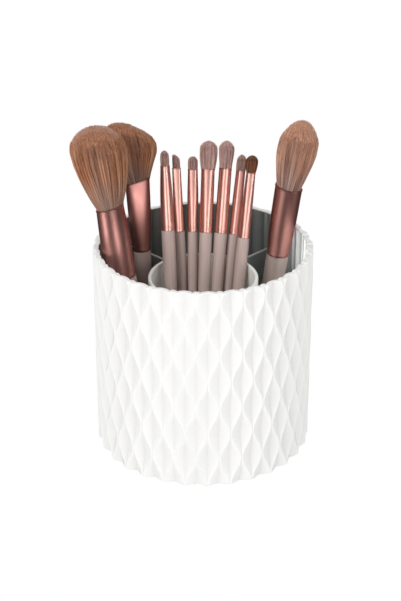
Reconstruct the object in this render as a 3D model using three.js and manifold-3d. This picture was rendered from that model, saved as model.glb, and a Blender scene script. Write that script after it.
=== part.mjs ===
// Rotating make-up brush holder with ten brushes, in millimetres.
// Origin: centre of the rubber foot's underside. +Z is up, -Y is the front, +X is the right.
import * as THREE from 'three';
import Module from 'manifold-3d';
import { mergeVertices } from 'three/addons/utils/BufferGeometryUtils.js';

const wasm = await Module();
wasm.setup();

// ---------- driving dimensions ----------
const GAP = 0.3; // between pieces that touch

// Outer shell
const SHELL_R = 62.5; // over the ridges
const SHELL_BOTTOM = 3.2;
const SHELL_TOP = 125;
const RIDGES = 60;
const RIDGE_STEP = 360 / RIDGES;
const RIDGE_START = 5.5; // first ridge, degrees from the front towards the right
const WAVE_ANGLE = 0.42 * RIDGE_STEP; // sideways swing of a ridge
const WAVE_PERIOD = 33;
const WAVE_CENTRE = 102.5; // height at which the first cell is widest
const GROOVE_SLOPE = 0.46; // depth of a groove per mm away from its ridge
const INNER_RIB_R = 58.5; // inner wall at the vertical ribs
const INNER_FLUTE_R = 59.0; // inner wall between the ribs

// Floor, cup and dividers
const FLOOR_BOTTOM = 12.1;
const FLOOR_TOP = 14.1;
const FLOOR_R = INNER_RIB_R - GAP;
const INSIDE_TOP = 105; // top of the cup and of the dividers
const CUP_R = 31.5;
const CUP_WALL = 2;
const DIVIDER_THICK = 1.8;
const DIVIDER_ANGLES = { right_rear: 45, left_rear: 135, left_front: 225, right_front: 315 };

// Base and bearing
const PAD_R = 50;
const PAD_TOP = 1.5;
const BASE_R = 52;
const BASE_BOTTOM = PAD_TOP + GAP;
const BASE_TOP = 4.6;
const BOSS_R = 13;
const BOSS_TOP = 7.4;
const BOSS_BORE_R = 5.9;
const COUNTERBORE_R = 9.2;
const COUNTERBORE_TOP = 5.8;
const HUB_R = 5.5;
const HUB_BOTTOM = 5.4;
const HUB_HOLE_R = 1.8;
const HUB_HOLE_TOP = 10.6;
const RACE_IN = 33;
const RACE_OUT = 43;
const BALL_R = 2;
const BALL_CENTRE_R = 38;
const BALL_Z = 8.2;
const BALLS = 8;
const RING_SEGMENTS = 36; // facets of the hidden rings
const CAGE_HALF = 0.8; // half the cage ring's height
const CAGE_HOLE_R = BALL_R + GAP;

// Brushes stand on the floor and lean on a rim.
// foot and lean are x, y of the axis at FOOT_Z and at INSIDE_TOP.
// Distances along the axis run from the foot: length, ferrule from and to.
// ferruleR is its radius at the bottom, the middle and the top, and flat its depth over its width at the top.
// head is the half width of the bristles at each of HEAD_SHARES of their height, sway how far they bend
// sideways, slant the slope of an angled head, and roll turns a flat brush about its axis, in degrees.
const FOOT_Z = FLOOR_TOP + 0.45;
const HEAD_SHARES = [0, 0.12, 0.25, 0.4, 0.55, 0.68, 0.79, 0.88, 0.95, 1];
const BRUSHES = [
  { name: 'pencil', foot: [-15.15, -12.2], lean: [-19.23, 12.2], length: 161.2, ferrule: [115.4, 152.6],
    handleR: 3.9, endR: 2.2, ferruleR: [3.9, 3.6, 2.6],
    head: [2.3, 2.42, 2.5, 2.52, 2.5, 2.42, 2.25, 1.85, 1.3, 0.5] },
  { name: 'brow', foot: [-9.1, -1.1], lean: [-13.1, 22], length: 154.6, ferrule: [110.3, 147.2],
    handleR: 3.2, endR: 2.1, ferruleR: [3.05, 2.75, 2.45], flat: 0.6, slant: -0.7,
    head: [2.1, 2.15, 2.2, 2.2, 2.2, 2.17, 2.1, 1.95, 1.6, 0.8] },
  { name: 'shader', foot: [-5.8, -9.2], lean: [-5.9, 21.6], length: 155.8, ferrule: [112.2, 148.3],
    handleR: 3.1, endR: 2.1, ferruleR: [3, 3.2, 2.8], flat: 0.7,
    head: [2.65, 2.72, 2.78, 2.82, 2.84, 2.75, 2.5, 2.1, 1.5, 0.5] },
  { name: 'blender', foot: [-2.2, -17.2], lean: [1, 15.6], length: 167.8, ferrule: [114.8, 151.5],
    handleR: 3.6, endR: 2.1, ferruleR: [3.65, 3.85, 3.85], flat: 0.8,
    head: [3.95, 4.35, 4.65, 4.95, 5.1, 5.1, 4.85, 4, 2.6, 0.6] },
  { name: 'crease', foot: [2.3, -13.7], lean: [9, 16.7], length: 167, ferrule: [113.7, 151.1],
    handleR: 3.6, endR: 2.1, ferruleR: [3.75, 3.7, 3.6], sway: [0.2, -0.4],
    head: [3.5, 3.6, 3.8, 4.1, 4.4, 4.5, 4.2, 3.4, 2.2, 0.5] },
  { name: 'smudger', foot: [6.8, -4.9], lean: [16.3, 19.8], length: 156.8, ferrule: [110.4, 147.8],
    handleR: 3.15, endR: 2.1, ferruleR: [3, 2.9, 2.65],
    head: [2.6, 2.75, 2.85, 2.9, 2.9, 2.75, 2.4, 1.9, 1.2, 0.4] },
  { name: 'concealer', foot: [12, -11.9], lean: [21.7, 13], length: 159, ferrule: [111.3, 149],
    handleR: 3.5, endR: 2.1, ferruleR: [3.35, 3.1, 2.6], flat: 0.75,
    head: [2.4, 2.8, 3.1, 3.35, 3.5, 3.45, 3.2, 2.7, 1.8, 0.5] },
  { name: 'powder', foot: [-31.8, -22], lean: [-45.2, -10.8], length: 185.2, ferrule: [97, 138.6],
    handleR: 8.1, endR: 4.6, ferruleR: [8.1, 8.5, 7.75], sway: [-0.8, -1], big: true,
    head: [7.1, 9.6, 11.6, 13.5, 14.9, 15.5, 14.9, 12.4, 8.6, 2] },
  { name: 'contour', foot: [-30.9, 18], lean: [-35.5, 26], length: 171.8, ferrule: [95, 137.8],
    handleR: 5.1, endR: 3.3, ferruleR: [4.95, 6.5, 7.1], flat: 0.5, slant: -0.38, sway: [-2.2, -1.5],
    roll: 8, big: true,
    head: [6.6, 8.3, 10.1, 12.1, 14.1, 14.6, 13.7, 12, 8.2, 2.3] },
  { name: 'highlighter', foot: [31.2, 20.6], lean: [42.9, 21.1], length: 178.6, ferrule: [95.4, 138.1],
    handleR: 6.4, endR: 4, ferruleR: [6.4, 7.55, 7.8], sway: [2.2, 0], big: true,
    head: [6.9, 8.1, 9.3, 10.6, 11.3, 11.1, 9.6, 7.5, 5, 1.2] },
];

// ---------- materials ----------
function material(color, roughness, metalness = 0) {
  return () => new THREE.MeshStandardMaterial({ color, roughness, metalness });
}
const whiteShell = material(0xf4f4f2, 0.45);
const whiteInner = material(0xe2e4e2, 0.55);
const blackRubber = material(0x2a2a2c, 0.9);
const greyPlastic = material(0xb9bbbc, 0.6);
const steel = material(0xa8abae, 0.35, 1);
const polishedSteel = material(0xc9ccce, 0.15, 1);
const taupeHandle = material(0xac9d98, 0.45);
const roseFerrule = material(0xd8907e, 0.2, 1);
const copperFerrule = material(0x8c5a55, 0.35, 1);
const brownHair = material(0x9a7560, 0.95);
const greyHair = material(0x9c8478, 0.95);
const darkHair = material(0x5c3a28, 0.95);

// ---------- helpers ----------
const group = new THREE.Group();
group.name = 'brush_holder';
const rad = THREE.MathUtils.degToRad;

function add(name, geometry, makeMaterial) {
  const mesh = new THREE.Mesh(geometry, makeMaterial());
  mesh.name = name;
  group.add(mesh);
  return mesh;
}

// A ring or disc turned about Z.
// The outline is radius, height pairs, anticlockwise from its lower inner corner.
function turned(outline, segments) {
  const points = outline.map(([r, z]) => new THREE.Vector2(r, z));
  const onAxis = points[0].x === 0 && points[points.length - 1].x === 0;
  if (!onAxis) points.push(points[0].clone());
  const geometry = new THREE.LatheGeometry(points, segments);
  geometry.rotateX(Math.PI / 2);
  return geometry;
}

// A closed surface through rings of equal point count, capped at both ends, rings listed from low to high.
function skin(rings) {
  const count = rings[0].length;
  const positions = rings.flat(2);
  const index = [];
  for (let k = 0; k < rings.length - 1; k++) {
    for (let i = 0; i < count; i++) {
      const a = k * count + i;
      const b = k * count + ((i + 1) % count);
      index.push(a, b, b + count, a, b + count, a + count);
    }
  }
  const middle = (ring) => ring.reduce((sum, p) => sum.map((v, n) => v + p[n] / count), [0, 0, 0]);
  const low = positions.length / 3;
  const last = (rings.length - 1) * count;
  positions.push(...middle(rings[0]), ...middle(rings[rings.length - 1]));
  for (let i = 0; i < count; i++) {
    const j = (i + 1) % count;
    index.push(low, j, i, low + 1, last + i, last + j);
  }
  const geometry = new THREE.BufferGeometry();
  geometry.setAttribute('position', new THREE.Float32BufferAttribute(positions, 3));
  geometry.setIndex(index);
  return geometry;
}

// An upright piece with oval sections.
// Each station is [height, half width, half depth, slope along x, shift along x].
function oval(stations, segments) {
  const rings = stations.map(([z, rx, ry = rx, slope = 0, shift = 0]) =>
    Array.from({ length: segments }, (_, i) => {
      const a = (2 * Math.PI * i) / segments;
      return [shift + rx * Math.cos(a), ry * Math.sin(a), z + slope * rx * Math.cos(a)];
    }));
  return skin(rings);
}

function toSolid(geometry) {
  const bare = geometry.clone();
  bare.deleteAttribute('normal');
  bare.deleteAttribute('uv');
  const merged = mergeVertices(bare, 1e-4);
  return new wasm.Manifold(new wasm.Mesh({
    numProp: 3,
    vertProperties: merged.attributes.position.array,
    triVerts: new Uint32Array(merged.index.array),
  }));
}

function toGeometry(solid) {
  const mesh = solid.getMesh();
  const geometry = new THREE.BufferGeometry();
  geometry.setAttribute('position', new THREE.BufferAttribute(mesh.vertProperties, 3));
  geometry.setIndex(new THREE.BufferAttribute(mesh.triVerts, 1));
  return geometry;
}

// ---------- outer shell ----------
function polar(degreesFromFront, r, z) {
  const a = rad(degreesFromFront);
  return [r * Math.sin(a), -r * Math.cos(a), z];
}

function ridgeAngle(i, z) {
  const side = i % 2 === 0 ? -1 : 1;
  const swing = WAVE_ANGLE * Math.cos((2 * Math.PI * (z - WAVE_CENTRE)) / WAVE_PERIOD);
  return RIDGE_START + i * RIDGE_STEP + side * swing;
}

// Each ring has a ridge point and a groove point for every ridge.
function outerRing(z) {
  const ring = [];
  for (let i = 0; i < RIDGES; i++) {
    const here = ridgeAngle(i, z);
    const next = ridgeAngle(i + 1, z);
    const half = (next - here) / 2;
    ring.push(polar(here, SHELL_R, z), polar(here + half, SHELL_R - GROOVE_SLOPE * SHELL_R * rad(half), z));
  }
  return ring;
}

function innerRing(z) {
  const ring = [];
  for (let i = 0; i < RIDGES; i++) {
    const here = RIDGE_START + i * RIDGE_STEP;
    ring.push(polar(here, INNER_FLUTE_R, z), polar(here + RIDGE_STEP / 2, INNER_RIB_R, z));
  }
  return ring;
}

function shell() {
  const quarter = WAVE_PERIOD / 4;
  const heights = [SHELL_BOTTOM];
  for (let k = -11; k <= 2; k++) heights.push(WAVE_CENTRE + k * quarter);
  heights.push(SHELL_TOP);
  // Up the outside, down the inside, and back to the start.
  const rings = heights.map(outerRing);
  rings.push(innerRing(SHELL_TOP), innerRing(SHELL_BOTTOM));
  const count = 2 * RIDGES;
  const index = [];
  for (let k = 0; k < rings.length; k++) {
    const up = ((k + 1) % rings.length) * count;
    for (let i = 0; i < count; i++) {
      const j = (i + 1) % count;
      const a = k * count + i;
      const b = k * count + j;
      index.push(a, b, up + j, a, up + j, up + i);
    }
  }
  const geometry = new THREE.BufferGeometry();
  geometry.setAttribute('position', new THREE.Float32BufferAttribute(rings.flat(2), 3));
  geometry.setIndex(index);
  return geometry;
}
add('shell', shell(), whiteShell);

// ---------- floor, cup and dividers ----------
add('turntable_floor', turned([
  [0, HUB_HOLE_TOP],
  [HUB_HOLE_R, HUB_HOLE_TOP],
  [HUB_HOLE_R, HUB_BOTTOM],
  [HUB_R, HUB_BOTTOM],
  [HUB_R, FLOOR_BOTTOM],
  [FLOOR_R, FLOOR_BOTTOM],
  [FLOOR_R, FLOOR_TOP],
  [0, FLOOR_TOP],
], 48), whiteInner);

const cupBottom = FLOOR_TOP + GAP;
add('centre_cup', turned([
  [CUP_R - CUP_WALL, cupBottom],
  [CUP_R, cupBottom],
  [CUP_R, INSIDE_TOP],
  [CUP_R - CUP_WALL, INSIDE_TOP],
], 60), whiteInner);

for (const [place, angle] of Object.entries(DIVIDER_ANGLES)) {
  const from = CUP_R + GAP;
  const to = INNER_RIB_R - GAP;
  const box = new THREE.BoxGeometry(to - from, DIVIDER_THICK, INSIDE_TOP - cupBottom);
  box.translate((from + to) / 2, 0, (INSIDE_TOP + cupBottom) / 2);
  box.rotateZ(rad(angle));
  add(`divider_${place}`, box, whiteInner);
}

// ---------- base and bearing ----------
add('foot_pad', turned([[0, 0], [PAD_R, 0], [PAD_R, PAD_TOP], [0, PAD_TOP]], RING_SEGMENTS), blackRubber);

add('base_plate', turned([
  [COUNTERBORE_R, BASE_BOTTOM],
  [BASE_R, BASE_BOTTOM],
  [BASE_R, BASE_TOP],
  [BOSS_R, BASE_TOP],
  [BOSS_R, BOSS_TOP],
  [BOSS_BORE_R, BOSS_TOP],
  [BOSS_BORE_R, COUNTERBORE_TOP],
  [COUNTERBORE_R, COUNTERBORE_TOP],
], RING_SEGMENTS), greyPlastic);

add('retaining_washer', turned([[2.1, 4], [8.6, 4], [8.6, 5.1], [2.1, 5.1]], 24), steel);
add('pivot_screw', turned([[0, 2.1], [3, 2.1], [3.4, 2.6], [3.4, 3.7], [1.5, 3.7], [1.5, 10], [0, 10]], 20), steel);

// The lower race's outline, and its mirror image about the ball centres for the upper one.
const lowerRace = [
  [RACE_IN, BASE_TOP + GAP],
  [RACE_OUT, BASE_TOP + GAP],
  [RACE_OUT, 6.6],
  [39.6, 6.6],
  [38.8, BALL_Z - BALL_R - GAP],
  [37.2, BALL_Z - BALL_R - GAP],
  [36.4, 6.6],
  [RACE_IN, 6.6],
];
const upperRace = lowerRace.map(([r, z], i) => [r, i < 2 ? FLOOR_BOTTOM - GAP : 2 * BALL_Z - z]).reverse();
add('lower_race', turned(lowerRace, RING_SEGMENTS), steel);
add('upper_race', turned(upperRace, RING_SEGMENTS), steel);

const cageHole = new THREE.CylinderGeometry(CAGE_HOLE_R + 0.1, CAGE_HOLE_R + 0.1, 4, 10);
cageHole.rotateX(Math.PI / 2);
let cage = toSolid(turned([
  [34, BALL_Z - CAGE_HALF],
  [42, BALL_Z - CAGE_HALF],
  [42, BALL_Z + CAGE_HALF],
  [34, BALL_Z + CAGE_HALF],
], RING_SEGMENTS));
for (let i = 0; i < BALLS; i++) {
  const a = (2 * Math.PI * i) / BALLS;
  const [x, y] = [BALL_CENTRE_R * Math.cos(a), BALL_CENTRE_R * Math.sin(a)];
  cage = cage.subtract(toSolid(cageHole.clone().translate(x, y, BALL_Z)));
  add(`ball_${i + 1}`, new THREE.IcosahedronGeometry(BALL_R, 1).translate(x, y, BALL_Z), polishedSteel);
}
add('ball_cage', toGeometry(cage), greyPlastic);

// ---------- brushes ----------
function handle(b) {
  const top = b.ferrule[0] - GAP;
  const end = b.endR;
  return [
    [0, 0.35 * end],
    [0.12 * end, 0.62 * end],
    [0.5 * end, 0.92 * end],
    [1.1 * end, end],
    [0.38 * top, end + 0.42 * (b.handleR - end)],
    [0.68 * top, end + 0.82 * (b.handleR - end)],
    [0.9 * top, b.handleR],
    [top, b.ferruleR[0] - 0.05],
  ];
}

function ferrule(b) {
  const [from, to] = b.ferrule;
  const [low, middle, high] = b.ferruleR;
  const flat = b.flat ?? 1;
  const lip = to - (b.big ? 1.2 : 0.9);
  const at = (share) => share < 0.5
    ? low + (middle - low) * 2 * share
    : middle + (high - middle) * (2 * share - 1);
  const depth = (share) => at(share) * (1 + (flat - 1) * share);
  return [
    [from, low],
    [from + 0.25 * (to - from), at(0.25), depth(0.15)],
    [from + 0.5 * (to - from), at(0.5), depth(0.4)],
    [from + 0.75 * (to - from), at(0.75), depth(0.75)],
    [lip - 1.2, at(0.97), depth(0.97)],
    [lip, high + 0.12, depth(1) + 0.12],
    [to, high + 0.1, depth(1) + 0.1],
  ];
}

// The slope grows towards the tip, so that an angled head still starts square on its ferrule.
function head(b) {
  const from = b.ferrule[1] + GAP;
  const height = b.length - from;
  const [bend, curl] = b.sway ?? [0, 0];
  return b.head.map((rx, i) => {
    const share = HEAD_SHARES[i];
    const slope = (b.slant ?? 0) * share * share;
    return [from + share * height, rx, rx * (b.flat ?? 1), slope, bend * share + curl * share * share];
  });
}

// Turns an upright piece so that it stands on the brush's foot and leans the brush's way.
function lean(geometry, b) {
  const foot = new THREE.Vector3(...b.foot, FOOT_Z);
  const up = new THREE.Vector3(...b.lean, INSIDE_TOP).sub(foot).normalize();
  const across = new THREE.Vector3(1, 0, 0).addScaledVector(up, -up.x).normalize();
  const away = new THREE.Vector3().crossVectors(up, across);
  geometry.rotateZ(rad(b.roll ?? 0));
  geometry.applyMatrix4(new THREE.Matrix4().makeBasis(across, away, up).setPosition(foot));
  return geometry;
}

for (const b of BRUSHES) {
  const segments = b.big ? 20 : 12;
  const darkest = b.name === 'concealer' ? darkHair : greyHair;
  add(`${b.name}_handle`, lean(oval(handle(b), segments), b), taupeHandle);
  add(`${b.name}_ferrule`, lean(oval(ferrule(b), segments), b), b.big ? copperFerrule : roseFerrule);
  add(`${b.name}_bristles`, lean(oval(head(b), segments), b), b.big ? brownHair : darkest);
}

export default group;
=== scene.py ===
"""Rotating make-up brush holder with ten brushes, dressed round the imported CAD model.
Lengths in this script are in millimetres unless a name says otherwise; MM turns them into metres."""

import math
from types import SimpleNamespace

import bpy
import numpy as np
from mathutils import Matrix, Vector


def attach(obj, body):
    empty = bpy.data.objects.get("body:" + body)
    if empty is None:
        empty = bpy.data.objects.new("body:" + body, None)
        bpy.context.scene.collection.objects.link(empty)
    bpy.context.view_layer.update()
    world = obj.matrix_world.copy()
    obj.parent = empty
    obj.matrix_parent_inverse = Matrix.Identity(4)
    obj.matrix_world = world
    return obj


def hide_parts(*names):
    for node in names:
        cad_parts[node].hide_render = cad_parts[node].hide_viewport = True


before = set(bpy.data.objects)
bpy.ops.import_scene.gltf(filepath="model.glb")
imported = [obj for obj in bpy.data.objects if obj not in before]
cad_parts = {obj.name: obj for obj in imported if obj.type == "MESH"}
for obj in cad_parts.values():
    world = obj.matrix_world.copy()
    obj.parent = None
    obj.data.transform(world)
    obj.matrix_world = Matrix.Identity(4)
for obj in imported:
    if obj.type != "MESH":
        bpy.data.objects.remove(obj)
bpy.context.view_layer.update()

MM = 0.001
TAU = 2 * math.pi

# ---------------------------------------------------------------- dimensions, most of them as in the CAD model
SHELL_R = 62.5  # at the ridges
SHELL_BOTTOM = 3.2
SHELL_TOP = 125.0
RIDGES = 60
RIDGE_STEP = 360 / RIDGES
RIDGE_START = 5.5  # degrees from the front towards the right, as all angles on the shell
WAVE_ANGLE = 0.42 * RIDGE_STEP  # how far a ridge swings to each side
WAVE_PERIOD = 33.0
WAVE_CENTRE = 102.5  # height at which the swing is greatest
GROOVE_SLOPE = 0.46  # drop of a groove for each millimetre away from its ridge
FLOOR_TOP = 14.1
INSIDE_TOP = 105.0
CUP_R = 31.5
CUP_WALL = 2.0
DIVIDERS = {"right_rear": 45, "left_rear": 135, "left_front": 225, "right_front": 315}  # degrees from +x
DIVIDER_HALF = 0.8  # half its thickness
FOOT_Z = FLOOR_TOP + 0.45  # where the brushes stand
BALLS = 8
BALL_R = 2.0
BALL_CIRCLE_R = 38.0
BALL_Z = 8.2

# One dictionary for each brush. Heights are along its axis from its foot.
#   foot, lean     x, y of the axis at FOOT_Z and at INSIDE_TOP
#   length         to the tip of the hair
#   ferrule        heights of its bottom and top edges
#   handleR, endR  largest radius of the handle, and radius of its rounded end
#   ferruleR       radius at the ferrule's bottom, middle and top
#   head           half width of the hair at each of HEAD_SHARES of its height
#   flat           thickness over width of ferrule and hair, 1 if it is left out
#   slant          how much higher the hair ends on one side, for each millimetre across
#   cut            the same for the ferrule's top edge
#   sway           how far the hair leans across by its tip, and how much of a curve is added
#   roll           degrees that the brush is turned about its axis
#   big            one of the three brushes with a big copper ferrule
HEAD_SHARES = (0, 0.12, 0.25, 0.4, 0.55, 0.68, 0.79, 0.88, 0.95, 1)
BRUSHES = [
    dict(name="pencil", foot=(-15.15, -12.2), lean=(-19.23, 12.2), length=161.2, ferrule=(115.4, 152.6),
         handleR=3.9, endR=2.2, ferruleR=(3.9, 3.6, 2.6), hair="grey", strands=1000,
         head=(2.3, 2.42, 2.5, 2.52, 2.5, 2.42, 2.25, 1.85, 1.3, 0.5)),
    dict(name="brow", foot=(-9.1, -1.1), lean=(-13.1, 22), length=154.6, ferrule=(110.3, 147.2),
         handleR=3.2, endR=2.1, ferruleR=(3.05, 2.75, 2.45), flat=0.6, slant=-0.7, hair="grey", strands=800,
         head=(2.1, 2.15, 2.2, 2.2, 2.2, 2.17, 2.1, 1.95, 1.6, 0.8)),
    dict(name="shader", foot=(-5.8, -9.2), lean=(-5.9, 21.6), length=155.8, ferrule=(112.2, 148.3),
         handleR=3.1, endR=2.1, ferruleR=(3, 3.2, 2.8), flat=0.7, hair="grey", strands=900,
         head=(2.65, 2.72, 2.78, 2.82, 2.84, 2.75, 2.5, 2.1, 1.5, 0.5)),
    dict(name="blender", foot=(-2.2, -17.2), lean=(1, 15.6), length=167.8, ferrule=(114.8, 151.5),
         handleR=3.6, endR=2.1, ferruleR=(3.65, 3.85, 3.85), flat=0.8, hair="mauve", strands=1800,
         head=(3.95, 4.35, 4.65, 4.95, 5.1, 5.1, 4.85, 4, 2.6, 0.6)),
    dict(name="crease", foot=(2.3, -13.7), lean=(9, 16.7), length=167, ferrule=(113.7, 151.1),
         handleR=3.6, endR=2.1, ferruleR=(3.75, 3.7, 3.6), sway=(0.2, -0.4), hair="mauve", strands=1700,
         head=(3.5, 3.6, 3.8, 4.1, 4.4, 4.5, 4.2, 3.4, 2.2, 0.5)),
    dict(name="smudger", foot=(6.8, -4.9), lean=(16.3, 19.8), length=156.8, ferrule=(110.4, 147.8),
         handleR=3.15, endR=2.1, ferruleR=(3, 2.9, 2.65), hair="grey", strands=900,
         head=(2.6, 2.75, 2.85, 2.9, 2.9, 2.75, 2.4, 1.9, 1.2, 0.4)),
    dict(name="concealer", foot=(12, -11.9), lean=(21.7, 13), length=159, ferrule=(111.3, 149),
         handleR=3.5, endR=2.1, ferruleR=(3.35, 3.1, 2.6), flat=0.75, hair="dark", strands=1100,
         head=(2.4, 2.8, 3.1, 3.35, 3.5, 3.45, 3.2, 2.7, 1.8, 0.5)),
    dict(name="powder", foot=(-31.8, -22), lean=(-45.2, -10.8), length=185.2, ferrule=(97, 138.6),
         handleR=8.1, endR=4.6, ferruleR=(8.1, 8.5, 7.75), sway=(-0.8, -1), cut=0.15, big=True,
         hair="brown", strands=5600,
         head=(7.1, 9.6, 11.6, 13.5, 14.9, 15.5, 14.9, 12.4, 8.6, 2)),
    dict(name="contour", foot=(-30.9, 18), lean=(-35.5, 26), length=171.8, ferrule=(95, 137.8),
         handleR=5.1, endR=3.3, ferruleR=(4.95, 6.5, 7.1), flat=0.5, slant=-0.38, sway=(-2.2, -1.5), cut=0.27,
         roll=8, big=True, hair="brown", strands=5200,
         head=(6.6, 8.3, 10.1, 12.1, 14.1, 14.6, 13.7, 12, 8.2, 2.3)),
    dict(name="highlighter", foot=(31.2, 20.6), lean=(42.9, 21.1), length=178.6, ferrule=(95.4, 138.1),
         handleR=6.4, endR=4, ferruleR=(6.4, 7.55, 7.8), sway=(2.2, 0), cut=-0.1, big=True,
         hair="tan", strands=4600,
         head=(6.9, 8.1, 9.3, 10.6, 11.3, 11.1, 9.6, 7.5, 5, 1.2)),
]


# ---------------------------------------------------------------- materials
class Nodes:
    """A material under construction: a Principled shader with short ways to add what feeds it."""

    def __init__(self, name, **sockets):
        self.mat = bpy.data.materials.new(name)
        self.mat.use_nodes = True
        self.tree = self.mat.node_tree
        self.shader = self.tree.nodes["Principled BSDF"]
        for key, value in sockets.items():
            self.shader.inputs[key.replace("_", " ")].default_value = value
        self.coords = self.new("ShaderNodeTexCoord").outputs["Object"]

    def new(self, kind, **settings):
        node = self.tree.nodes.new(kind)
        for key, value in settings.items():
            setattr(node, key, value)
        return node

    def link(self, a, b):
        self.tree.links.new(a, b)

    def attribute(self, name):
        return self.new("ShaderNodeAttribute", attribute_name=name).outputs["Fac"]

    def combine(self, *parts):
        node = self.new("ShaderNodeCombineXYZ")
        for socket, part in zip(node.inputs, parts):
            self.link(part, socket)
        return node.outputs[0]

    def mapping(self, scale, vector=None):
        node = self.new("ShaderNodeMapping")
        node.inputs["Scale"].default_value = scale
        self.link(vector or self.coords, node.inputs["Vector"])
        return node.outputs[0]

    def noise(self, scale, vector=None, detail=3.0, roughness=0.55):
        node = self.new("ShaderNodeTexNoise")
        node.inputs["Scale"].default_value = 1.0
        node.inputs["Detail"].default_value = detail
        node.inputs["Roughness"].default_value = roughness
        scale = scale if isinstance(scale, tuple) else (scale,) * 3
        self.link(self.mapping(scale, vector), node.inputs["Vector"])
        return node.outputs["Fac"]

    def math(self, operation, a, b):
        node = self.new("ShaderNodeMath", operation=operation)
        self.link(a, node.inputs[0])
        self.link(b, node.inputs[1])
        return node.outputs[0]

    def span(self, value, low, high, to_low=0.0, to_high=1.0):
        node = self.new("ShaderNodeMapRange")
        for key, number in (("From Min", low), ("From Max", high), ("To Min", to_low), ("To Max", to_high)):
            node.inputs[key].default_value = number
        self.link(value, node.inputs["Value"])
        return node.outputs[0]

    def ramp(self, value, *stops):
        node = self.new("ShaderNodeValToRGB")
        elements = node.color_ramp.elements
        while len(elements) < len(stops):
            elements.new(0.5)
        for element, (place, colour) in zip(elements, stops):
            element.position = place
            element.color = (*colour, 1)
        self.link(value, node.inputs["Fac"])
        return node.outputs["Color"]

    def mix(self, share, a, b):
        node = self.new("ShaderNodeMix", data_type="RGBA")
        factor, first, second = [s for s in node.inputs if s.enabled]
        self.link(share, factor)
        for socket, item in ((first, a), (second, b)):
            if isinstance(item, tuple):
                socket.default_value = (*item, 1)
            else:
                self.link(item, socket)
        return next(s for s in node.outputs if s.enabled)

    def colour(self, output):
        self.link(output, self.shader.inputs["Base Color"])

    def rough(self, output):
        self.link(output, self.shader.inputs["Roughness"])

    def bump(self, height, distance_mm, strength=1.0):
        node = self.new("ShaderNodeBump")
        node.inputs["Strength"].default_value = strength
        node.inputs["Distance"].default_value = distance_mm * MM
        self.link(height, node.inputs["Height"])
        self.link(node.outputs[0], self.shader.inputs["Normal"])


def linear(r, g, b):
    """A colour seen on screen, 0 to 255, as the linear values that Blender takes."""
    def one(v):
        v /= 255
        return v / 12.92 if v <= 0.04045 else ((v + 0.055) / 1.055) ** 2.4
    return one(r), one(g), one(b)


def moulded(name, low, high, roughness, grain_mm=0.6, bump_mm=0.02, accent=None):
    """Moulded plastic: a faint cloudiness in the colour, a fine matte grain, and a second colour where a mesh
    attribute asks for it, used as painted shade in hollows and seams or as a painted highlight along an edge."""
    m = Nodes(name)
    cloud = m.noise(70.0, detail=2.0)
    grain = m.noise(1000.0 / grain_mm, detail=2.0)
    body = m.ramp(cloud, (0.3, low), (0.7, high))
    # The second colour is painted shade or a painted highlight.
    if accent:
        body = m.mix(m.attribute("accent"), body, accent)
    m.colour(body)
    m.rough(m.span(grain, 0.3, 0.7, roughness - 0.05, roughness + 0.07))
    m.bump(grain, bump_mm, 0.5)
    return m.mat


def metal(name, base, streak, roughness, spread=0.05, **sockets):
    """Drawn and anodised tube: a fine haze along the draw and a slight change of tone."""
    m = Nodes(name, Metallic=1.0, **sockets)
    tone = m.noise((90.0, 90.0, 40.0), detail=1.0)  # cycles for each metre, fewer along the draw
    haze = m.noise((260.0, 260.0, 130.0), detail=1.0)
    m.colour(m.mix(m.span(tone, 0.3, 0.7), base, streak))
    m.rough(m.span(haze, 0.3, 0.7, roughness - spread, roughness + spread))
    return m.mat


def lacquer(name, low, high):
    """Painted wood: smooth, with a faint grain along the handle under the paint."""
    m = Nodes(name, Coat_Weight=0.25, Coat_Roughness=0.3)
    grain = m.noise((900.0, 900.0, 25.0), detail=3.0)
    speck = m.noise(2500.0, detail=1.0)
    m.colour(m.ramp(grain, (0.3, low), (0.7, high)))
    m.rough(m.span(speck, 0.3, 0.7, 0.4, 0.52))
    m.bump(grain, 0.015, 0.4)
    return m.mat


def hair(name, root, middle, tip, dark, light):
    """Fibres: colour runs from root to tip, each fibre has its own tone, and streaks follow the bundle.

    The mesh gives four numbers at each point: along, its share of the height; tone, one for each fibre; fx and fy,
    where its fibre leaves the ferrule, in millimetres."""
    m = Nodes(name, Roughness=0.7, Sheen_Weight=0.45, Sheen_Roughness=0.45, Specular_IOR_Level=0.25)
    along = m.attribute("along")
    tone = m.attribute("tone")
    place = m.combine(m.attribute("fx"), m.attribute("fy"), along)
    broad = m.noise((0.35, 0.35, 0.8), place, detail=1.0)
    clump = m.noise((4.8, 4.8, 0.8), place, detail=3.0, roughness=0.6)
    level = m.math("ADD", along, m.span(broad, 0.3, 0.7, -0.14, 0.14))
    body = m.ramp(level, (0.05, root), (0.5, middle), (0.9, tip))
    fade = m.span(along, 0.65, 0.95, 1.0, 0.45)  # streaks are weaker on the dome
    shade = m.math("ADD", m.math("MULTIPLY", m.span(clump, 0.37, 0.63, -0.4, 0.36), fade), tone)
    body = m.mix(m.span(shade, 0.5, 0.0), body, dark)
    m.colour(m.mix(m.span(shade, 0.6, 1.15), body, light))
    m.rough(m.span(tone, 0, 1, 0.6, 0.8))
    return m.mat


def rubber(name):
    """Foot rubber: nearly black, with a fine rough grain."""
    m = Nodes(name)
    grain = m.noise(1800.0)
    m.colour(m.ramp(grain, (0.3, (0.02, 0.02, 0.022)), (0.75, (0.05, 0.05, 0.052))))
    m.rough(m.span(grain, 0.3, 0.7, 0.75, 0.95))
    m.bump(grain, 0.05)
    return m.mat


# The shell's last colour is painted shade, laid into the grooves of its relief.
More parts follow.
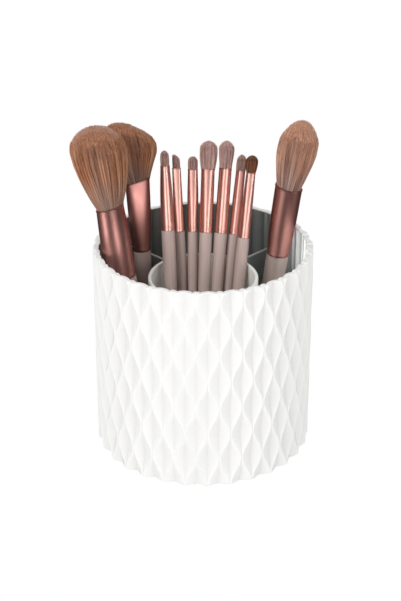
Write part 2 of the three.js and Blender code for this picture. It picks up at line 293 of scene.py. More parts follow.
WHITE = moulded("shell_white", (0.91, 0.91, 0.9), (0.93, 0.93, 0.92), 0.42, 0.9, 0.015, (0.85, 0.84, 0.828))
# The inside's grey is painted shade on what is white plastic, and its last colour is darker painted shade at the
# seams between flutes.
INSIDE_PAINTED_SHADE = moulded("inside_painted_shade", (0.19, 0.215, 0.21), (0.23, 0.255, 0.25), 0.45, 1.2, 0.02, (0.1, 0.115, 0.112))
# The fins wear the inside's grey painted shade, and their last colour is a painted highlight along their tops.
FIN_PAINTED_LIGHT = moulded("fin_painted_light", (0.19, 0.215, 0.21), (0.23, 0.255, 0.25), 0.45, 1.2, 0.02, (0.62, 0.65, 0.63))
CUP = moulded("cup_white", (0.8, 0.8, 0.76), (0.86, 0.86, 0.82), 0.42, 1.2, 0.02)
GREY = moulded("base_grey", (0.36, 0.37, 0.38), (0.44, 0.45, 0.46), 0.55)
STEEL = metal("race_steel", (0.5, 0.51, 0.52), (0.62, 0.63, 0.64), 0.3)
BALL_STEEL = metal("ball_steel", (0.75, 0.76, 0.78), (0.8, 0.81, 0.82), 0.12, 0.02)
RUBBER = rubber("foot_rubber")
HANDLE = lacquer("handle_taupe", linear(178, 157, 150), linear(189, 169, 162))
# The dark tint is the metal's colour at its edges, where it is seen at a low angle.
ROSE = metal("ferrule_rose", (0.76, 0.41, 0.345), (0.81, 0.44, 0.37), 0.4, 0.02,
             Coat_Weight=0.5, Coat_Roughness=0.36, Specular_Tint=(0.5, 0.2, 0.2, 1))
COPPER = metal("ferrule_copper", (0.46, 0.21, 0.185), (0.5, 0.23, 0.2), 0.44, 0.02,
               Coat_Weight=0.3, Coat_Roughness=0.4, Specular_Tint=(0.5, 0.22, 0.22, 1))
HAIR = {  # root, middle, tip, dark streaks, light streaks
    "brown": hair("hair_brown", linear(150, 119, 107), linear(172, 110, 73), linear(176, 122, 91),
                  linear(90, 50, 31), linear(208, 168, 140)),
    "tan": hair("hair_tan", linear(156, 127, 118), linear(190, 138, 113), linear(198, 147, 117),
                linear(108, 72, 58), linear(224, 192, 172)),
    "mauve": hair("hair_mauve", linear(180, 142, 134), linear(188, 150, 142), linear(190, 154, 146),
                  linear(104, 72, 66), linear(224, 194, 186)),
    "grey": hair("hair_grey", linear(168, 128, 117), linear(176, 138, 127), linear(180, 146, 136),
                 linear(92, 64, 56), linear(212, 184, 174)),
    "dark": hair("hair_dark", linear(104, 58, 33), linear(114, 62, 35), linear(122, 72, 43),
                 linear(38, 18, 10), linear(160, 104, 64)),
}


# ---------------------------------------------------------------- mesh helpers
def make(name, verts, faces, material, body, nodes, sharp=35, place=None, attributes=None):
    """A piece that rides on a body, stands for CAD nodes and wears a material. sharp is in degrees, and attributes
    are numbers for each point that its material reads."""
    mesh = bpy.data.meshes.new(name)
    mesh.from_pydata((np.asarray(verts) * MM).tolist(), [], faces)
    mesh.validate()
    mesh.update()
    mesh.shade_smooth()
    mesh.set_sharp_from_angle(angle=math.radians(sharp))
    mesh.materials.append(material)
    for key, values in (attributes or {}).items():
        mesh.attributes.new(key, "FLOAT", "POINT").data.foreach_set("value", np.asarray(values, np.float32))
    piece = bpy.data.objects.new(name, mesh)
    bpy.context.scene.collection.objects.link(piece)
    if place is not None:
        piece.matrix_world = place
    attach(piece, body)
    if nodes:
        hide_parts(*nodes)
    return piece


def quads(rows, columns, wrap_rows=False):
    """Faces of a grid of points that closes round in its columns, and in its rows too if asked."""
    faces = []
    for k in range(rows if wrap_rows else rows - 1):
        low, high = k * columns, ((k + 1) % rows) * columns
        for i in range(columns):
            j = (i + 1) % columns
            faces.append((low + i, low + j, high + j, high + i))
    return faces


def capped(rings):
    """Points and faces of a closed surface through rings listed from low to high."""
    count = len(rings[0])
    verts = np.concatenate([np.asarray(r, float) for r in rings])
    faces = quads(len(rings), count)
    faces.append(tuple(reversed(range(count))))
    last = (len(rings) - 1) * count
    faces.append(tuple(last + i for i in range(count)))
    return verts, faces


FILLET_SHARE = 0.45  # of the shorter edge at a corner, the most that a rounding takes


def fillet(points, radius, steps=3):
    """A closed outline with each corner rounded. radius is one number or one for each corner."""
    out = []
    n = len(points)
    for i, corner in enumerate(points):
        r = radius[i] if isinstance(radius, (list, tuple)) else radius
        p = np.array(corner, float)
        before, after = np.array(points[i - 1], float), np.array(points[(i + 1) % n], float)
        if r <= 0:
            out.append(tuple(p))
            continue
        u, v = before - p, after - p
        reach = min(r, FILLET_SHARE * np.linalg.norm(u), FILLET_SHARE * np.linalg.norm(v))
        a, b = p + u / np.linalg.norm(u) * reach, p + v / np.linalg.norm(v) * reach
        for k in range(steps + 1):
            t = k / steps
            out.append(tuple((1 - t) ** 2 * a + 2 * t * (1 - t) * p + t ** 2 * b))
    return out


def circles(outline, count, centre=(0, 0)):
    """One level circle of points round the centre for each radius, height pair."""
    angle = np.arange(count) * TAU / count
    cx, cy = centre
    return [np.stack([cx + r * np.cos(angle), cy + r * np.sin(angle), np.full(count, z)], 1) for r, z in outline]


def turned(name, outline, count, material, body, nodes):
    """A ring turned about Z from a closed outline of radius, height pairs, anticlockwise from low inside."""
    rows = circles(outline, count)
    return make(name, np.concatenate(rows), quads(len(rows), count, True), material, body, nodes)


def disc(name, profile, count, material, body, nodes, centre=(0, 0)):
    """A solid of revolution whose profile of radius, height pairs starts and ends near its upright axis."""
    verts, faces = capped(circles(profile, count, centre))
    return make(name, verts, faces, material, body, nodes)


def smooth_line(points, x):
    """Values at x of a smooth curve through points of (x, y), without overshoot between them."""
    px, py = np.array(points, float).T
    slope = np.diff(py) / np.diff(px)
    tangent = np.zeros(len(px))
    for i in range(1, len(px) - 1):
        a, b = slope[i - 1], slope[i]
        tangent[i] = 0 if a * b <= 0 else 2 * a * b / (a + b)
    tangent[0], tangent[-1] = slope[0], slope[-1]
    k = np.clip(np.searchsorted(px, x, side="right") - 1, 0, len(px) - 2)
    h = px[k + 1] - px[k]
    t = np.clip((x - px[k]) / h, 0, 1)
    return ((1 + 2 * t) * (1 - t) ** 2 * py[k] + t * (1 - t) ** 2 * h * tangent[k]
            + t ** 2 * (3 - 2 * t) * py[k + 1] + t ** 2 * (t - 1) * h * tangent[k + 1])


# ---------------------------------------------------------------- shell
def ridge_angles(z):
    """Angles of all ridges at height z, in degrees from the front towards the right."""
    i = np.arange(RIDGES + 1)
    side = np.where(i % 2 == 0, -1.0, 1.0)
    swing = WAVE_ANGLE * math.cos(TAU * (z - WAVE_CENTRE) / WAVE_PERIOD)
    return RIDGE_START + i * RIDGE_STEP + side * swing


def polar(degrees, r, z):
    a = np.radians(degrees)
    return np.stack([r * np.sin(a), -r * np.cos(a), np.broadcast_to(z, np.shape(a))], -1)


BEAD = 0.24  # extra drop beside a ridge, which leaves it standing as a thin rounded bead
BEAD_W = 0.46  # half the bead's width
BEAD_STEPS = [(0.0, 0.0), (0.2, 0.06), (0.36, 0.19), (BEAD_W, BEAD)]  # distance from the ridge, drop
GROOVE_STEPS = (0.3, 0.6, 0.86, 0.965, 1.0)  # shares of the way from the bead to the middle of the groove
GROOVE_MIDDLE = 0.02  # how much the middle of a groove is lifted for each millimetre of its half width
DEEPEST = 1.15  # drop at which a groove gets its full painted shade
SIDE_SHADE = 0.35  # painted shade on a groove's sides as a share of that in its middle


def outer_ring(z):
    """One closed ring of the shell's outside: from each ridge, the bead, the groove's two sides, the next bead.
    Also gives how much painted shade each point gets, from 0 to 1, the most deep in the middle of a groove."""
    ridges = ridge_angles(z)
    mm_per_degree = math.radians(1) * SHELL_R
    rings, painted_shades = [], []
    for i in range(RIDGES):
        gap = (ridges[i + 1] - ridges[i]) * mm_per_degree
        half = gap / 2
        left = [(d, drop, 0.0) for d, drop in BEAD_STEPS]
        for t in GROOVE_STEPS:
            d = BEAD_W + t * (half - BEAD_W)
            drop = BEAD + GROOVE_SLOPE * (d - BEAD_W)
            if t == 1.0:
                drop -= GROOVE_MIDDLE * (half - BEAD_W)
            # The third number is how much painted shade the point gets, more deep in the groove and towards its
            # middle.
            left.append((d, drop, min(1.0, drop / DEEPEST) * (SIDE_SHADE + (1 - SIDE_SHADE) * t ** 3)))
        right = [(gap - d, drop, painted_shade) for d, drop, painted_shade in reversed(left[1:-1])]
        d, drop, painted_shade = np.array(left + right).T
        rings.append(polar(ridges[i] + d / mm_per_degree, SHELL_R - drop, z))
        painted_shades.append(painted_shade)
    return np.concatenate(rings), np.concatenate(painted_shades)


SHELL_ROWS = 104
EDGE = 0.35  # rounding of the rim's and the foot's outer edge
SCALLOP = 0.65  # how deep the rim's notches are between two lobes
LIP = 0.7  # height of the rim's white edge, below which the lining starts
LINING_R = 59.35
FLUTE_R = 59.28
FLUTE_DEPTH = 0.1
FLUTE_DEPTH_PER_DEGREE = 0.085  # what a wider cell adds
SLIT = 0.03  # gap between the shell and its lining
LINING_DROP = 1.7  # how far the lining reaches below the floor's top
INNER_EDGE = ((0.5, 0.0), (0.15, -0.15), (0.0, -0.5))  # the rim's rounded inner edge: outwards, height from its top


def cell_share(angle):
    """For angles in degrees: how far along its cell of the rim each one is, and the cell's width."""
    ridges = ridge_angles(SHELL_TOP)
    angle = (angle - ridges[0]) % 360 + ridges[0]
    cell = np.clip(np.searchsorted(ridges, angle, side="right") - 1, 0, RIDGES - 1)
    gap = ridges[cell + 1] - ridges[cell]
    return (angle - ridges[cell]) / gap, gap


def scallop(angle):
    """How far the rim's edge is below its top, because each cell ends in a rounded lobe."""
    share, _ = cell_share(angle)
    return SCALLOP * (1 - np.sin(np.pi * share) ** 0.5)


def flutes(count):
    """Angles and radii of the inside, whose plain upright flutes follow the rim's wide and narrow cells, and how
    near to the seam between two flutes each one is, from 0 to 1."""
    angle = ridge_angles(SHELL_TOP)[0] + np.arange(count) * 360 / count
    share, gap = cell_share(angle)
    swell = np.sin(np.pi * share) ** 0.8
    return angle, FLUTE_R - swell * (FLUTE_DEPTH + FLUTE_DEPTH_PER_DEGREE * gap), 1 - swell


def build_shell():
    """The white shell with its relief and painted shade in its grooves, and inside it a lining whose grey is painted
    shade.
    """
    heights = np.linspace(SHELL_BOTTOM, SHELL_TOP, SHELL_ROWS)
    rows, painted_shades = map(list, zip(*(outer_ring(z) for z in heights)))
    count = len(rows[0])
    # Soften the very edge of the foot and of the rim.
    for row, sign in ((0, 1), (-1, -1)):
        flat = rows[row].copy()
        flat[:, :2] *= 1 - EDGE / SHELL_R
        rows[row][:, 2] += sign * EDGE
        rows.insert(len(rows) if row else 0, flat)
        painted_shades.insert(len(painted_shades) if row else 0, painted_shades[row])
    for row in rows[-3:]:
        row[:, 2] -= scallop(np.degrees(np.arctan2(row[:, 0], -row[:, 1])))
    angle, radius, seam = flutes(count)
    for out, z in INNER_EDGE:
        rows.append(polar(angle, radius + out, SHELL_TOP + z - scallop(angle)))
    rows.append(polar(angle, radius, SHELL_TOP - LIP))
    for z in (SHELL_TOP - LIP, SHELL_BOTTOM):
        rows.append(polar(angle, np.full(count, LINING_R + SLIT), z))
    # Painted shade in the grooves of the outside, none on the rows inside the rim.
    plain = np.zeros((len(rows) - len(painted_shades)) * count)
    painted_shade = np.concatenate([*painted_shades, plain])
    relief = make("shell_relief", np.concatenate(rows), quads(len(rows), count, True), WHITE, "turntable",
                  ["shell"], sharp=28, attributes={"accent": painted_shade})
    bottom, top = FLOOR_TOP - LINING_DROP, SHELL_TOP - LIP - SLIT
    rows = [polar(angle, np.full(count, LINING_R), z) for z in (bottom, top)]
    rows += [polar(angle, radius + 0.04, z) for z in (top, 80.0, 40.0, bottom)]
    # The lining's grey is painted shade, with darker painted shade near the seams between its flutes.
    lining = make("shell_lining", np.concatenate(rows), quads(len(rows), count, True), INSIDE_PAINTED_SHADE, "turntable",
                  (), sharp=28, attributes={"accent": np.tile(seam, len(rows))})
    return relief, lining


relief, lining = build_shell()

# ---------------------------------------------------------------- cup, dividers and floor
CUP_RIM = 0.9  # rounding of the cup's top edges
CUP_SIDES = 144
SIDES = 120  # of the other turned pieces
BALL_SIDES = 24
cup_outline = [(CUP_R - CUP_WALL, FLOOR_TOP), (CUP_R, FLOOR_TOP), (CUP_R, INSIDE_TOP), (CUP_R - CUP_WALL, INSIDE_TOP)]
cup = turned("cup_wall", fillet(cup_outline, [0, 0, CUP_RIM, CUP_RIM], steps=5), CUP_SIDES, CUP, "turntable",
             ["centre_cup"])

# A divider's sections lie close together at its two ends, where it swells.
DIVIDER_RADII = np.concatenate([np.linspace(31.2, 35, 7), np.linspace(37, 53, 9), np.linspace(55, 58.7, 7)])
SWELL = 1.3  # what each side gains at the very ends
SWELL_REACH = 0.9


def build_divider(place, angle):
    """A fin with a rounded top that swells where it meets the cup and the shell."""
    c, s = math.cos(math.radians(angle)), math.sin(math.radians(angle))
    bend = np.linspace(0, math.pi, 9)
    rings = []
    for r in DIVIDER_RADII:
        near = min(r - DIVIDER_RADII[0], DIVIDER_RADII[-1] - r)
        half = DIVIDER_HALF + SWELL * math.exp(-near / SWELL_REACH)
        crown = [(half * math.cos(a), INSIDE_TOP - DIVIDER_HALF + DIVIDER_HALF * math.sin(a)) for a in bend]
        outline = [(half, FLOOR_TOP), *crown, (-half, FLOOR_TOP)]
        rings.append([(r * c - t * s, r * s + t * c, z) for t, z in outline])
    verts, faces = capped(rings)
    faces = [tuple(reversed(f)) for f in faces]
    # A painted highlight along the fin's rounded top.
    painted_highlight = np.tile([0, *np.sin(bend) ** 0.7, 0], len(DIVIDER_RADII))
    make(f"fin_{place}", verts, faces, FIN_PAINTED_LIGHT, "turntable", [f"divider_{place}"], sharp=40,
         attributes={"accent": painted_highlight})


for place, angle in DIVIDERS.items():
    build_divider(place, angle)
# From the axis outwards along the underside, hub first, and back along the top with a low ring round the cup.
TRAY_PROFILE = [(0.01, 10.6), (1.8, 10.6), (1.8, 5.4), (5.2, 5.4), (5.5, 5.7), (5.5, 12.1), (58, 12.1), (58.2, 12.4),
                (58.2, FLOOR_TOP), (33, FLOOR_TOP), (32.2, FLOOR_TOP + 0.2), (31.6, FLOOR_TOP), (29.4, FLOOR_TOP),
                (28.8, FLOOR_TOP - 0.2), (0.01, FLOOR_TOP - 0.2)]
# The tray floor wears the inside's grey, which is painted shade.
disc("tray_floor", TRAY_PROFILE, SIDES, INSIDE_PAINTED_SHADE, "turntable", ["turntable_floor"])

# ---------------------------------------------------------------- base and bearing
pad = [(0.01, 0.15), (8, 0.15), (8.3, 0.0)]
for r in range(12, 48, 5):  # shallow grooves in the underside
    pad += [(r, 0.0), (r + 0.3, 0.35), (r + 1.3, 0.35), (r + 1.6, 0.0)]
pad += [(49.4, 0.0), (49.85, 0.2), (50, 0.6), (50, 1.2), (49.8, 1.5), (0.01, 1.5)]
disc("foot_ring_pad", pad, SIDES, RUBBER, "base", ["foot_pad"])
DISH_OUTLINE = [(9.2, 1.8), (52, 1.8), (52, 4.6), (13, 4.6), (13, 7.4), (5.9, 7.4), (5.9, 5.8), (9.2, 5.8)]
turned("base_dish", fillet(DISH_OUTLINE, radius=0.4), SIDES, GREY, "base", ["base_plate"])
POLE = 0.03  # angle left open at a ball's two poles, which the caps close
ball_profile = [(BALL_R * math.sin(t), BALL_Z - BALL_R * math.cos(t)) for t in np.linspace(POLE, math.pi - POLE, 15)]
for i in range(BALLS):
    a = i * TAU / BALLS
    disc(f"bearing_ball_{i + 1}", ball_profile, BALL_SIDES, BALL_STEEL, "ball_ring", [f"ball_{i + 1}"],
         centre=(BALL_CIRCLE_R * math.cos(a), BALL_CIRCLE_R * math.sin(a)))
for node, material in (("ball_cage", GREY), ("lower_race", STEEL), ("upper_race", STEEL),
                       ("retaining_washer", STEEL), ("pivot_screw", STEEL)):
    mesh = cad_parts[node].data
    mesh.materials.clear()
    mesh.materials.append(material)


# ---------------------------------------------------------------- brushes
# What differs between the seven small brushes and the three big ones. crimps are heights above the ferrule's bottom
# edge; lip is how far its rolled top edge stands out and roll how high that is; fibre is a fibre's radius at its
# foot and at its tip.
SMALL = SimpleNamespace(handle_sides=32, ferrule_sides=40, crimps=(1.6, 2.5), lip=0.14, roll=0.7, metal=ROSE,
                        slot="ferrule_rose", core_sides=40, core_rows=36, fibre=(0.085, 0.03))
BIG = SimpleNamespace(handle_sides=48, ferrule_sides=64, crimps=(2.4, 3.6), lip=0.3, roll=1.0, metal=COPPER,
                      slot="ferrule_copper", core_sides=72, core_rows=44, fibre=(0.15, 0.045))
ROUND = 2.0  # the exponent of a round or oval section
HANDLE_TAPER = ((0.38, 0.42), (0.68, 0.82), (0.9, 1.0))  # share of the height, share of the gain in radius
CRIMP = ((-0.42, 0.0), (-0.2, -0.03), (0, -0.06), (0.2, -0.03), (0.42, 0.0))  # height from its middle, depth
FLAT_FROM = 0.15  # share of the ferrule's height at which it starts to flatten
FLAT_SQUARE = 3.2  # how much squarer the section of a quite flat ferrule would be


def brush_place(b):
    """Where a brush stands: its foot at the origin, its axis along +Z and its width along X."""
    foot = Vector((*b["foot"], FOOT_Z))
    up = (Vector((*b["lean"], INSIDE_TOP)) - foot).normalized()
    across = (Vector((1, 0, 0)) - up * up.x).normalized()
    away = up.cross(across)
    basis = Matrix((across, away, up)).transposed().to_4x4()
    return Matrix.Translation(foot * MM) @ basis @ Matrix.Rotation(math.radians(b.get("roll", 0)), 4, "Z")


def ovals(stations, count):
    """A closed surface through level ovals given by height, two half widths and an exponent, which flattens the
    sides where it is above ROUND."""
    angle = np.arange(count) * TAU / count
    c, s = np.cos(angle), np.sin(angle)
    rings = []
    for z, rx, ry, square in stations:
        power = 2 / square
        x, y = rx * np.sign(c) * np.abs(c) ** power, ry * np.sign(s) * np.abs(s) ** power
        rings.append(np.stack([x, y, np.full(count, z)], 1))
    return capped(rings)


def build_handle(b, kind, place, body):
    """A turned handle: a rounded end, a slow taper that is thickest below the ferrule, and a shoulder inside it."""
    top = b["ferrule"][0]
    end, full = b["endR"], b["handleR"]
    shoulder = b["ferruleR"][0]
    nose = [(end * (1 - math.cos(t)), end * math.sin(t)) for t in np.linspace(0.12, 1.45, 8)]
    shape = [(end * 0.9, end * 0.994)]  # on the nose, near its widest place
    shape += [(share * top, end + gain * (full - end)) for share, gain in HANDLE_TAPER]
    shape += [(top, shoulder + 0.02)]
    heights = np.linspace(end, top - 0.5, 40)
    profile = nose + list(zip(heights, smooth_line(shape, heights)))
    profile += [(top - 0.3, shoulder), (top - 0.12, shoulder - 0.12), (top - 0.1, shoulder - 0.5)]
    verts, faces = ovals([(h, r, r, ROUND) for h, r in profile], kind.handle_sides)
    return make(f"{b['name']}_grip", verts, faces, HANDLE, body, [f"{b['name']}_handle"],
                place=place)


def build_ferrule(b, kind, place, body):
    """A drawn tube: crimped above its bottom edge, flattened towards the top on flat brushes, with a rolled lip."""
    low, high = b["ferrule"]
    flat = b.get("flat", 1.0)
    shape = list(zip((0, 0.5, 1), b["ferruleR"]))
    stations = []

    def at(z, grow=0.0):
        share = min(1.0, max(0.0, (z - low) / (high - low)))
        rx = float(smooth_line(shape, share))
        flatten = max(0.0, (share - FLAT_FROM) / (1 - FLAT_FROM)) ** 1.2
        ry = rx * (1 + (flat - 1) * flatten)
        stations.append((z, rx + grow, ry + grow, ROUND + FLAT_SQUARE * (1 - flat) * flatten))

    # The bottom edge, the crimps, the plain tube, the rolled lip, and a short way down inside.
    at(low + 0.02, -0.5)
    at(low + 0.02, -0.1)
    at(low + 0.14, 0.04)
    for crimp in kind.crimps:
        for step, depth in CRIMP:
            at(low + crimp + step, depth)
    for z in np.linspace(low + kind.crimps[-1] + 1.2, high - 2.2 * kind.roll, 26):
        at(z)
    at(high - 1.4 * kind.roll)
    for t in np.linspace(-math.pi / 2, math.pi / 2, 7):
        at(high - 0.5 * kind.roll + 0.5 * kind.roll * math.sin(t), kind.lip * math.cos(t))
    at(high, -0.3)
    at(high - 0.2, -0.42)
    at(high - 1.2, -0.5)
    verts, faces = ovals(stations, kind.ferrule_sides)
    if "cut" in b:
        near = np.clip((verts[:, 2] - low) / (high - low), 0, 1) ** 8
        verts[:, 2] += b["cut"] * verts[:, 0] * near
    return make(f"{b['name']}_tube", verts, faces, kind.metal, body, [f"{b['name']}_ferrule"],
                sharp=50, place=place)


def tubes(centre, outward, width):
    """Three-sided tapering tubes along many centre lines: points, faces, and the number of points of each."""
    count, steps = centre.shape[:2]
    side = np.arange(3) * TAU / 3
    c, s = np.cos(side + outward[:, None]), np.sin(side + outward[:, None])
    spoke = np.stack([c, s, np.zeros_like(c)], -1)
    points = centre[:, :, None] + width[None, :, None, None] * spoke[:, None]
    per = 3 * steps
    first = np.arange(count)[:, None, None] * per
    walls = np.array(quads(steps, 3))[None] + first
    ends = np.array([(2, 1, 0), (per - 3, per - 2, per - 1)])[None] + first
    return points.reshape(-1, 3), walls.reshape(-1, 4), ends.reshape(-1, 3), per


HAIR_FOOT = 0.6  # how far below the ferrule's top edge the hair starts
INWARD = 0.35  # how fast the streaks close in towards the middle of the dome
DOME_PULL = 0.45  # how much of the dome's closing in the outermost fibres follow
OUTER_SHARE = 0.6  # of the fibres, in the outer layer
OUTER_FROM = 0.85  # where that layer starts, squared share of the radius
SHORT_SHARE = 0.2  # of the outer fibres, which end below the dome
CORE_END = 0.985
CORE_INSET = 0.04  # how far the core is inside the fibres, as a share of the head's half width
CORE_GAP = 0.08  # and what is added to that
CORE_TONE = 0.3
FIBRE_STEPS = 5


def build_head(b, kind, place, body, seed):
    """A core with the head's form, covered with separate tapering fibres that run from the ferrule to its dome."""
    rng = np.random.default_rng(seed)
    base = b["ferrule"][1] - HAIR_FOOT
    height = b["length"] - base
    flat, slant = b.get("flat", 1.0), b.get("slant", 0.0)
    bend, curl = b.get("sway", (0.0, 0.0))
    shares = np.linspace(0, 1, 201)
    envelope = smooth_line(list(zip(HEAD_SHARES, b["head"])), shares)
    wide = float(envelope.max())
    widest = int(envelope.argmax())
    # How far out a fibre of the outermost layer is at each share of the height: past the widest place it
    # curves in by less than half as much as the dome does.
    spread = envelope.copy()
    spread[widest:] = (1 - DOME_PULL) * wide + DOME_PULL * envelope[widest:]
    root = float(spread[0])

    def place_at(lateral, theta, share):
        x = lateral * np.cos(theta)
        z = base + share * height + slant * share ** 2 * x
        return np.stack([x + bend * share + curl * share ** 2, lateral * np.sin(theta) * flat, z], -1)

    # Core, a little inside the fibres, which starts below the rim of a ferrule that is cut at a slant.
    buried = -1.1 * abs(b.get("cut", 0.0)) * root / height
    count, core_rows = kind.core_sides, kind.core_rows
    angle = np.arange(count) * TAU / count
    share = np.linspace(buried, CORE_END, core_rows)[:, None]
    radius = np.maximum(0.02 * wide, np.interp(share, shares, envelope) - CORE_INSET * wide - CORE_GAP)
    ripple = 1 + 0.012 * np.sin(angle * 23 + 1.3) + 0.01 * np.sin(angle * 41 + share * 3)
    core = place_at(radius * ripple, angle[None], share)
    core[..., 2] -= 0.3 * share
    rho = np.clip(radius / np.interp(share, shares, spread), 0, 1) * np.ones_like(ripple)
    verts = [core.reshape(-1, 3)]
    across = [(root * rho ** INWARD * np.cos(angle)).ravel()]
    deep = [(root * rho ** INWARD * np.sin(angle) * flat).ravel()]
    along = [(share * np.ones_like(ripple)).ravel()]
    tone = [np.full(core_rows * count, CORE_TONE)]
    faces = [tuple(f) for f in quads(core_rows, count)]
    faces += [tuple(reversed(range(count))), tuple((core_rows - 1) * count + i for i in range(count))]

    # Fibres: most of them lie in the outer layer over their whole length, the others only fill the dome.
    n = b["strands"]
    outer = rng.random(n) < OUTER_SHARE
    rho = np.sqrt(np.where(outer, rng.uniform(OUTER_FROM, 1.0, n), rng.random(n)))
    theta = rng.uniform(0, TAU, n)
    layers = np.linspace(0, 1, 101)
    below = envelope[None, widest:] <= spread[None, widest:] * np.maximum(layers, 1e-3)[:, None]
    dome = np.where(below.any(1), shares[widest + below.argmax(1)], 1.0)
    end = np.interp(rho, layers, dome) * (1 - np.abs(rng.normal(0, 0.02, n)))
    end = np.where(outer & (rng.random(n) < SHORT_SHARE), end * rng.uniform(0.7, 1.0, n), end)
    start = np.where(outer, buried, np.maximum(buried, end - 0.35))
    share = start[:, None] + (end - start)[:, None] * np.linspace(0, 1, FIBRE_STEPS)[None] ** 0.9
    lift = np.where(outer, rng.uniform(-0.02, 0.02, n), 0.0)[:, None] * wide * (share - start[:, None])
    lateral = np.interp(share, shares, spread) * rho[:, None] * np.where(share < 0, 0.96, 1) + lift
    turn = theta[:, None] + rng.normal(0, 0.03, n)[:, None] * (share - start[:, None])
    centre = place_at(lateral, turn, share)
    thick, thin = kind.fibre
    width = thick + (thin - thick) * np.linspace(0, 1, FIBRE_STEPS) ** 1.5
    points, walls, ends, per = tubes(centre, theta, width)
    first = core_rows * count
    verts.append(points)
    faces += [tuple(f) for f in (walls + first).tolist()] + [tuple(f) for f in (ends + first).tolist()]
    across.append(np.repeat(root * rho ** INWARD * np.cos(theta), per))
    deep.append(np.repeat(root * rho ** INWARD * np.sin(theta) * flat, per))
    along.append(np.repeat(share, 3, axis=1).ravel())
    tone.append(np.repeat(rng.uniform(0.2, 0.9, n), per))
    attributes = {"fx": across, "fy": deep, "along": along, "tone": tone}
    return make(f"{b['name']}_hair", np.concatenate(verts), faces, HAIR[b["hair"]], body,
                [f"{b['name']}_bristles"], sharp=70, place=place,
                attributes={key: np.concatenate(parts) for key, parts in attributes.items()})


FIRST_SEED = 11
small_handles, big_handles, small_ferrules, big_ferrules, heads = [], [], [], [], []
for seed, brush in enumerate(BRUSHES, FIRST_SEED):
    where = brush_place(brush)
    rider = f"brush_{brush['name']}"
    if brush.get("big"):
        kind, handles, ferrules = BIG, big_handles, big_ferrules
    else:
        kind, handles, ferrules = SMALL, small_handles, small_ferrules
    handles.append(build_handle(brush, kind, where, rider))
    ferrules.append(build_ferrule(brush, kind, where, rider))
    heads.append(build_head(brush, kind, where, rider, seed))

# ---------------------------------------------------------------- stage
scene = bpy.context.scene
scene.view_settings.view_transform = "Standard"
# The camera sees the floor and the sky as plain white; these are what they give the object.
FLOOR_HALF_M = 6
FLOOR_GLOW = 0.57
FLOOR_IN_GLOSS = 0.09
SKY = 0.6
SKY_IN_GLOSS = 0.03
PLAIN_WHITE = (1, 1, 1, 1)

floor_mesh = bpy.data.meshes.new("studio_floor")
corners = [(x * FLOOR_HALF_M, y * FLOOR_HALF_M, 0) for x, y in ((-1, -1), (1, -1), (1, 1), (-1, 1))]
floor_mesh.from_pydata(corners, [], [(0, 1, 2, 3)])
floor = bpy.data.objects.new("studio_floor", floor_mesh)
scene.collection.objects.link(floor)
paper = Nodes("studio_paper", Roughness=0.9)
paper.colour(paper.ramp(paper.noise(3.0), (0.4, (0.5, 0.5, 0.5)), (0.6, (0.52, 0.52, 0.52))))
paper.shader.inputs["Emission Color"].default_value = PLAIN_WHITE
paper.shader.inputs["Emission Strength"].default_value = FLOOR_GLOW
floor_mesh.materials.append(paper.mat)


def by_ray(tree, kind, first, choices, out):
    """Mix shaders by what kind of ray arrives: choices are pairs of a Light Path output and a plain strength."""
    rays = tree.nodes.new("ShaderNodeLightPath")
    last = first
    for output, strength in choices:
        flat = tree.nodes.new(kind)
        flat.inputs["Color"].default_value = PLAIN_WHITE
        flat.inputs["Strength"].default_value = strength
        both = tree.nodes.new("ShaderNodeMixShader")
        tree.links.new(rays.outputs[output], both.inputs[0])
        tree.links.new(last, both.inputs[1])
        tree.links.new(flat.outputs[0], both.inputs[2])
        last = both.outputs[0]
    tree.links.new(last, out.inputs["Surface"])


by_ray(paper.tree, "ShaderNodeEmission", paper.shader.outputs[0],
       (("Is Glossy Ray", FLOOR_IN_GLOSS), ("Is Camera Ray", 1.0)), paper.tree.nodes["Material Output"])

world = bpy.data.worlds.new("studio")
world.use_nodes = True
scene.world = world
tree = world.node_tree
sky = tree.nodes["Background"]
sky.inputs["Color"].default_value = PLAIN_WHITE
sky.inputs["Strength"].default_value = SKY
by_ray(tree, "ShaderNodeBackground", sky.outputs[0], (("Is Glossy Ray", SKY_IN_GLOSS), ("Is Camera Ray", 1.0)),
       tree.nodes["World Output"])

# ---------------------------------------------------------------- lamps, all in metres
MIDDLE = (0, 0, 0.13)  # what most lamps aim at: the brushes, a little above the rim


def hang(name, data, azimuth, elevation, distance, aim, only):
    """Puts a lamp up at azimuth degrees from the front towards the right, seen from what it aims at. It lights every
    piece, or just those in only."""
    a, e = math.radians(azimuth), math.radians(elevation)
    offset = Vector((math.sin(a) * math.cos(e), -math.cos(a) * math.cos(e), math.sin(e))) * distance
    lamp = bpy.data.objects.new(name, data)
    lamp.location = Vector(aim) + offset
    lamp.rotation_euler = (-offset).to_track_quat("-Z", "Y").to_euler()
    scene.collection.objects.link(lamp)
    if only:
        lamp.light_linking.receiver_collection = bpy.data.collections.new(f"{name}_lights")
        for piece in only:
            lamp.light_linking.receiver_collection.objects.link(piece)
    return lamp


def softbox(name, azimuth, elevation, distance, size, radiance, gloss=True, shadow=True, only=(), aim=MIDDLE):
    """A square-cornered area lamp; without gloss it is not seen in reflections."""
    data = bpy.data.lights.new(name, "AREA")
    data.shape = "RECTANGLE"
    data.size, data.size_y = size
    data.energy = radiance * math.pi * size[0] * size[1]
    data.use_shadow = shadow
    hang(name, data, azimuth, elevation, distance, aim, only).visible_glossy = gloss


def spot(name, azimuth, elevation, distance, aim, cone, watts, colour, only):
    """A narrow soft-edged spot without shadows or reflection."""
    data = bpy.data.lights.new(name, "SPOT")
    data.energy = watts
    data.spot_size = math.radians(cone)
    data.spot_blend = 0.4
    data.color = colour
    data.shadow_soft_size = 0.02
    data.use_shadow = False
    hang(name, data, azimuth, elevation, distance, aim, only).visible_glossy = False


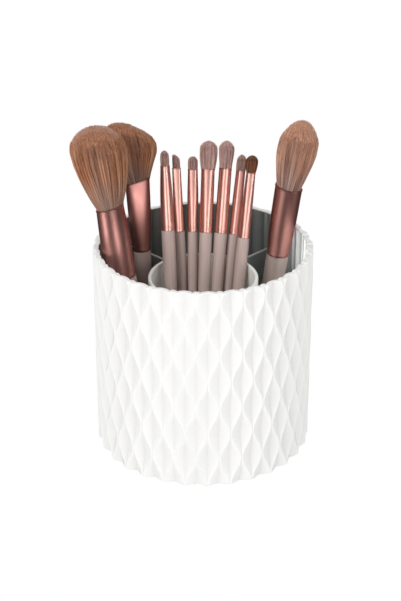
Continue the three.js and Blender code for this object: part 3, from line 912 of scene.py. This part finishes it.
powder, contour, highlighter = big_ferrules
soft = [cup, *small_handles, *big_handles[:2], *heads]  # the highlighter's handle is left in shade
softbox("strip_left", -35, 12, 0.85, (0.55, 0.30), 2.6, gloss=False)
softbox("strip_right", 42, 12, 0.85, (0.40, 0.30), 3.4, gloss=False)
softbox("shell_light", -38, 35, 0.95, (0.3, 0.3), 5.0, gloss=False, only=[relief])
softbox("rim_light", 170, 78, 0.95, (0.4, 0.4), 4.0, gloss=False, shadow=False, only=[relief])
softbox("back_left", -150, 24, 0.9, (0.25, 0.25), 4.0, gloss=False)
softbox("brush_light", -35, 35, 0.95, (0.4, 0.3), 11.0, only=soft)
softbox("brush_back", 165, 35, 0.95, (0.4, 0.3), 7.0, gloss=False, only=soft)
for name, azimuth, elevation, size, radiance, lit in (
        ("metal_left", -18, 9, (0.2, 0.5), 6.8, small_ferrules),
        ("metal_right", 36, 9, (0.2, 0.5), 6.2, small_ferrules),
        ("powder_left", -64, 0, (0.26, 0.4), 3.6, [powder]),
        ("powder_right", 30, 0, (0.3, 0.4), 1.3, [powder]),
        ("facet", 12, 16, (0.45, 0.14), 2.6, [contour]),
        ("high_left", -50, -4, (0.24, 0.4), 6.0, [highlighter]),
        ("high_right", 60, 2, (0.24, 0.4), 5.0, [highlighter]),
        ("inner_fill", -75, 30, (0.2, 0.3), 9.0, [lining]),
        ("big_back", 180, 8, (0.6, 0.3), 7.5, big_ferrules),
        ("small_back", 180, 40, (0.3, 0.4), 6.0, small_ferrules)):
    softbox(name, azimuth, elevation, 0.8, size, radiance, gloss=name != "inner_fill", shadow=False, only=lit)
# Lamps close to the tops of two ferrules, whose light fades downwards.
for name, azimuth, elevation, distance, size, radiance, tube, aim in (
        ("facet_glow", 12, 16, 0.05, (0.04, 0.008), 12.0, contour, (-0.0345, 0.018, 0.128)),
        ("powder_glow", 14, 2, 0.06, (0.024, 0.02), 6.4, powder, (-0.042, -0.021, 0.128)),
        ("powder_edge", -64, 2, 0.06, (0.02, 0.02), 6.0, powder, (-0.046, -0.021, 0.128))):
    softbox(name, azimuth, elevation, distance, size, radiance, shadow=False, only=[tube], aim=aim)
spot("inner_key", -120, 30, 0.9, (0.054, -0.004, 0.112), 3.2, 370.0, (1.0, 0.9, 0.9), [lining])

# ---------------------------------------------------------------- camera
CAMERA_AIM = Vector((-1.5, 0.0, 89.3)) * MM
CAMERA_DISTANCE = 907.5 * MM
CAMERA_ELEVATION = math.radians(27.1)
FRAME_HEIGHT_MM = 36.0
LENS_MM = 94.4
camera_data = bpy.data.cameras.new("camera")
camera_data.sensor_fit = "VERTICAL"
camera_data.sensor_height = FRAME_HEIGHT_MM
camera_data.lens = LENS_MM
camera_data.clip_start = 0.01
camera = bpy.data.objects.new("camera", camera_data)
back_off = Vector((0, -math.cos(CAMERA_ELEVATION), math.sin(CAMERA_ELEVATION)))
camera.location = CAMERA_AIM + CAMERA_DISTANCE * back_off
camera.rotation_euler = (-back_off).to_track_quat("-Z", "Y").to_euler()
scene.collection.objects.link(camera)
scene.camera = camera
